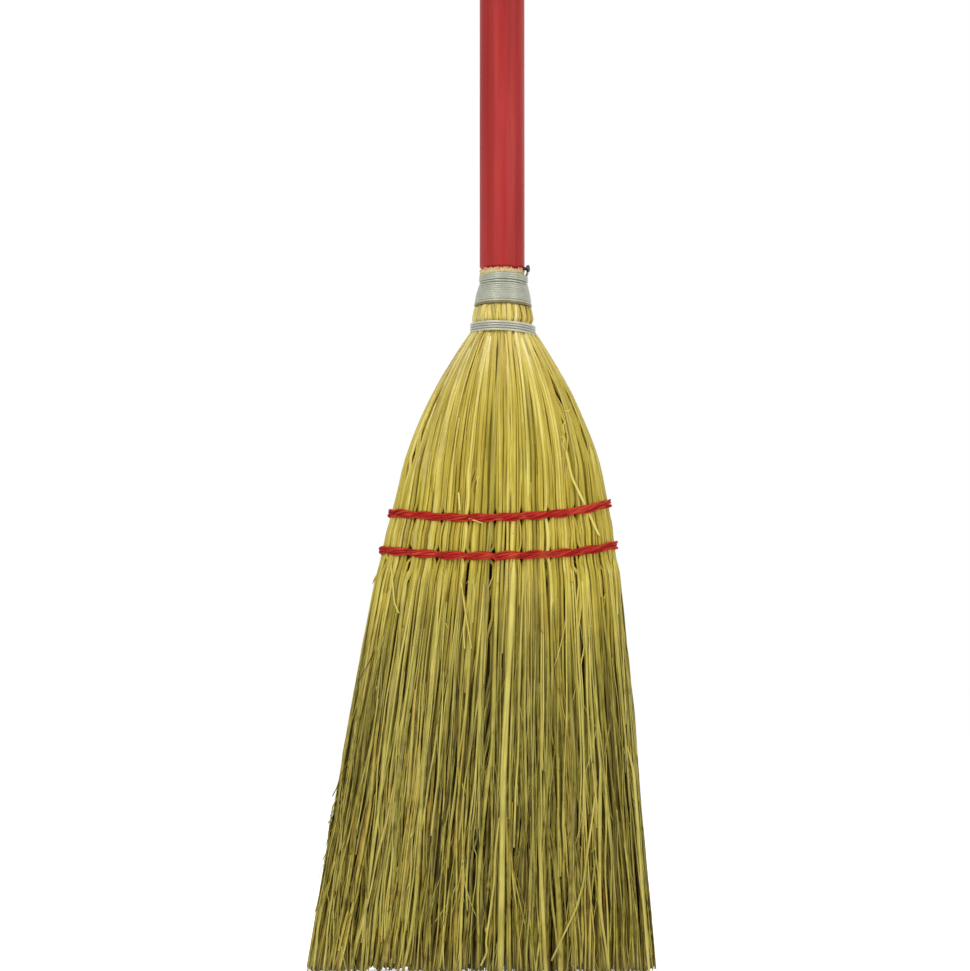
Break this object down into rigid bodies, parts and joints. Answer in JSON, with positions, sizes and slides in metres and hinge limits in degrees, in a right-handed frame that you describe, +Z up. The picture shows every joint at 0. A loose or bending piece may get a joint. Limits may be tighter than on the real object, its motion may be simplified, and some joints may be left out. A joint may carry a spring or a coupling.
{
  "type": "lobby broom",
  "caption": "Upright corn broom with a red wooden handle, a wire-bound neck and a fanned straw head sewn with two rows of twine.",
  "frame": {"origin": "on the floor, where the handle's axis meets the straw tips", "axes": "+Z up along the handle, -Y out of the broad face that the picture shows, +X to that face's right"},
  "size_m": [0.1486, 0.0364, 0.9907],
  "materials": {
    "handle_lacquer": "dowel in glossy red lacquer with faint lengthwise grain",
    "nail_steel": "small dark steel nail",
    "inner_straw": "broomcorn stalks, dull olive yellow",
    "cover_straw": "broomcorn stalks, golden yellow with green and brown streaks",
    "galvanised_wire": "galvanised iron wire",
    "red_twine": "waxed red twine, two-ply"
  },
  "bodies": {
    "root": {"handle": "handle_lacquer", "wire_nail": "nail_steel", "core_bundle": "inner_straw", "left_shoulder_bundle": "inner_straw", "right_shoulder_bundle": "inner_straw", "cover_front_1": "cover_straw", "cover_front_2": "cover_straw", "cover_front_3": "cover_straw", "cover_front_4": "cover_straw", "cover_front_5": "cover_straw", "cover_front_6": "cover_straw", "cover_back_1": "cover_straw", "cover_back_2": "cover_straw", "cover_back_3": "cover_straw", "cover_back_4": "cover_straw", "cover_back_5": "cover_straw", "cover_back_6": "cover_straw", "cover_left_edge": "cover_straw", "cover_right_edge": "cover_straw", "inner_wire": "galvanised_wire", "binding_wire": "galvanised_wire", "upper_twine_wrap": "red_twine", "upper_twine_stitches": "red_twine", "lower_twine_wrap": "red_twine", "lower_twine_stitches": "red_twine"}
  },
  "joints": []
}
